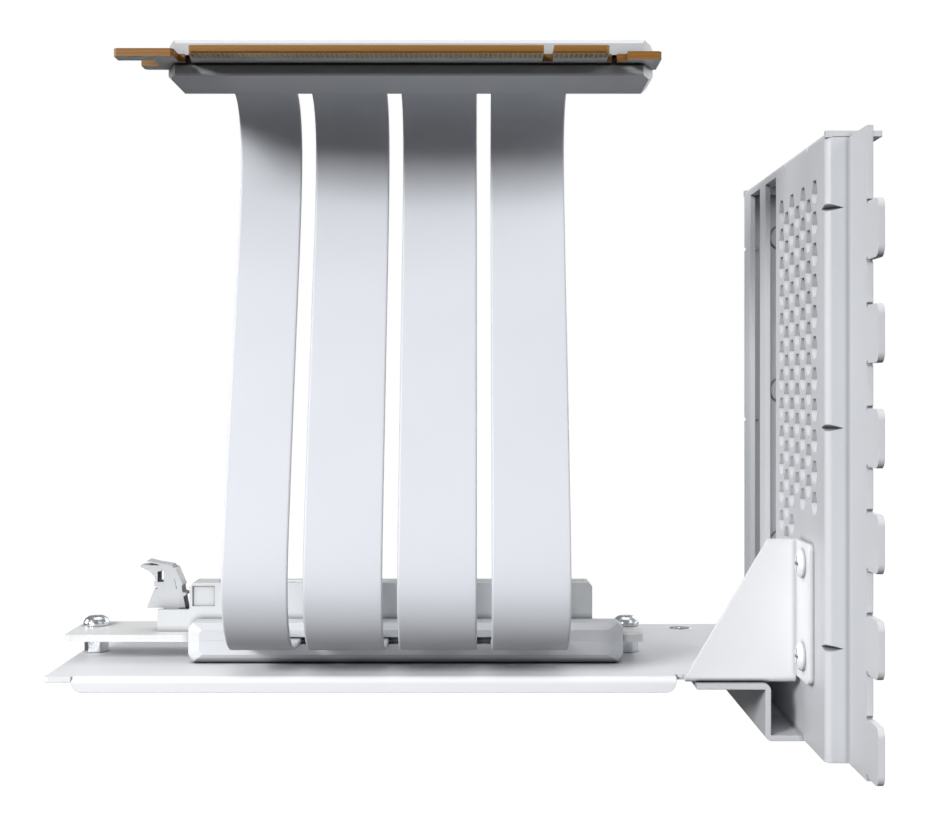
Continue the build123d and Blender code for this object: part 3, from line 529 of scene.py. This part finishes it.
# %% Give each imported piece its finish
finish_of = {
    "rear_plate": plate_coat, "tray": tray_coat, "gusset_screws": tray_coat, "foot_screws": zinc,
    "standoffs": zinc, "riser_board": lacquered, "board_screws": zinc,
    "socket_body": socket_nylon, "socket_contacts": gold, "latch": latch_nylon,
    "base_cover_upper": cover_abs, "base_cover_lower": cover_abs, "base_cover_screws": zinc,
    "ribbon_1": jacket, "ribbon_2": jacket, "ribbon_3": jacket, "ribbon_4": jacket,
    "plug_cover_upper": plug_abs_painted_shade, "plug_cover_lower": plug_abs_painted_shade, "plug_screws": zinc,
    "plug_board": bare_edge, "plug_fingers_top": gold, "plug_fingers_bottom": gold,
}
for name, material in finish_of.items():
    for slot in nodes[name].material_slots:
        slot.link = "OBJECT"
        slot.material = material
print("dressed", len(finish_of), "pieces")

# %% [markdown]
# ## The flat cables
#
# The four cables leave the cover on the board towards the camera, turn up, lean back and curl
# forwards into the plug. They are stiff enough to stand like that. All four follow one route, a
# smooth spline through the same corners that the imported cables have, and differ only in where
# they stand and how wide they are.

# %% The cables' route
cable_ends = (-45.1, 78.6)
# each corner is a depth in millimetres and a share of the rise from the lower to the upper end
cable_route = [
    (47.1, 0.0), (37.0, 0.0), (26.6, 0.008), (19.6, 0.063), (18.0, 0.141), (23.6, 0.293),
    (33.6, 0.539), (41.6, 0.722), (45.7, 0.853), (45.8, 0.923), (42.0, 0.976),
    (35.4, 0.998), (28.2, 1.0),
]
cable_rise = cable_ends[1] - cable_ends[0]
corners = [(depth, cable_ends[0] + share * cable_rise) for depth, share in cable_route]


def cable_line(name, x):
    """The spline of one cable's middle, read back as points in metres."""
    curve = bpy.data.curves.new(name, "CURVE")
    curve.dimensions = "3D"
    spline = curve.splines.new("NURBS")
    spline.points.add(len(corners) - 1)
    for point, (depth, height) in zip(spline.points, corners):
        point.co = (*mm(x, depth, height), 1.0)
    spline.order_u = 3
    spline.use_endpoint_u = True
    curve.resolution_u = 16
    holder = bpy.data.objects.new(name, curve)
    bpy.context.scene.collection.objects.link(holder)
    line = bpy.data.meshes.new_from_object(holder)
    points = [vertex.co.copy() for vertex in line.vertices]
    bpy.data.objects.remove(holder)
    bpy.data.curves.remove(curve)
    bpy.data.meshes.remove(line)
    return points


def run_length(points):
    """The length of a line of points."""
    return sum((b - a).length for a, b in zip(points, points[1:]))


print("cable length", round(run_length(cable_line("trial", 0)) * 1000, 1), "mm")

# %% [markdown]
# A flat cable is a thin rounded bar: its section is drawn once, a rectangle with soft ends, and
# set square to the line at each of its points. Two corners close to the soft ends keep the broad
# faces flat right up to them. Every ring has the same corners, so neighbours join with four-sided
# faces, and the UVs come from how far along and across each corner is.

# %% Sweep the cables
cable_widths = (14.0, 16.75, 16.75, 16.75)
cable_thickness = 1.0
soft_end = 0.4
flat_margin = 0.25


def cable_section(width):
    """Corners of a flat cable's section, as (across, out) in millimetres, anticlockwise."""
    deep = cable_thickness / 2
    half = width / 2 - soft_end
    right = [
        (half + soft_end * math.sin(turn), -deep * math.cos(turn))
        for turn in [math.radians(angle) for angle in range(0, 181, 30)]
    ]
    left = [(-across, -out) for across, out in right]
    inside = [half * share / 3 for share in range(-2, 3)]
    flat = [flat_margin - half, *inside, half - flat_margin]
    back = [(-across, deep) for across in flat]
    front = [(across, -deep) for across in flat]
    return right + back + left + front


def flat_cable(name, x, width):
    """One flat cable as a mesh along its line, with UVs in metres. Returns it and its line."""
    line = cable_line(name, x)
    section = cable_section(width)
    mesh = bmesh.new()
    uv = mesh.loops.layers.uv.new("along")
    rings = []
    walked = 0.0
    distances = []
    for index, point in enumerate(line):
        before = line[max(index - 1, 0)]
        after = line[min(index + 1, len(line) - 1)]
        forward = (after - before).normalized()
        outward = Vector((1, 0, 0)).cross(forward)
        walked += (point - before).length
        distances.append(walked)
        rings.append([
            mesh.verts.new(point + mm(across, 0, 0) + outward * mm(out))
            for across, out in section
        ])
    for row in range(len(rings) - 1):
        for column in range(len(section)):
            beside = (column + 1) % len(section)
            places = ((row, column), (row, beside), (row + 1, beside), (row + 1, column))
            face = mesh.faces.new([rings[along][across] for along, across in places])
            face.smooth = True
            for loop, (along, across) in zip(face.loops, places):
                loop[uv].uv = (mm(section[across][0]), distances[along])
    mesh.faces.new(rings[0][::-1])
    mesh.faces.new(rings[-1])
    bmesh.ops.recalc_face_normals(mesh, faces=mesh.faces)
    data = bpy.data.meshes.new(name)
    mesh.to_mesh(data)
    mesh.free()
    piece = bpy.data.objects.new(name, data)
    data.materials.append(jacket)
    bpy.context.scene.collection.objects.link(piece)
    return piece, line


print("section corners:", len(cable_section(cable_widths[-1])))

# %% Place the cables and say what they are
cable_gap = 3.1
left_edge = -129.9
for number, width in enumerate(cable_widths, start=1):
    cable, line = flat_cable(f"flat_cable_{number}", left_edge + width / 2, width)
    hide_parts(f"ribbon_{number}")
    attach(cable, "bracket")
    print(cable.name, "width", width, "mm, length", round(run_length(line) * 1000, 1), "mm")
    left_edge += width + cable_gap

# %% [markdown]
# ## Finish
#
# The picture is shown plainly, with no film look, so that the colours stay as they were picked.

# %% Finish the scene
bpy.context.scene.view_settings.view_transform = "Standard"
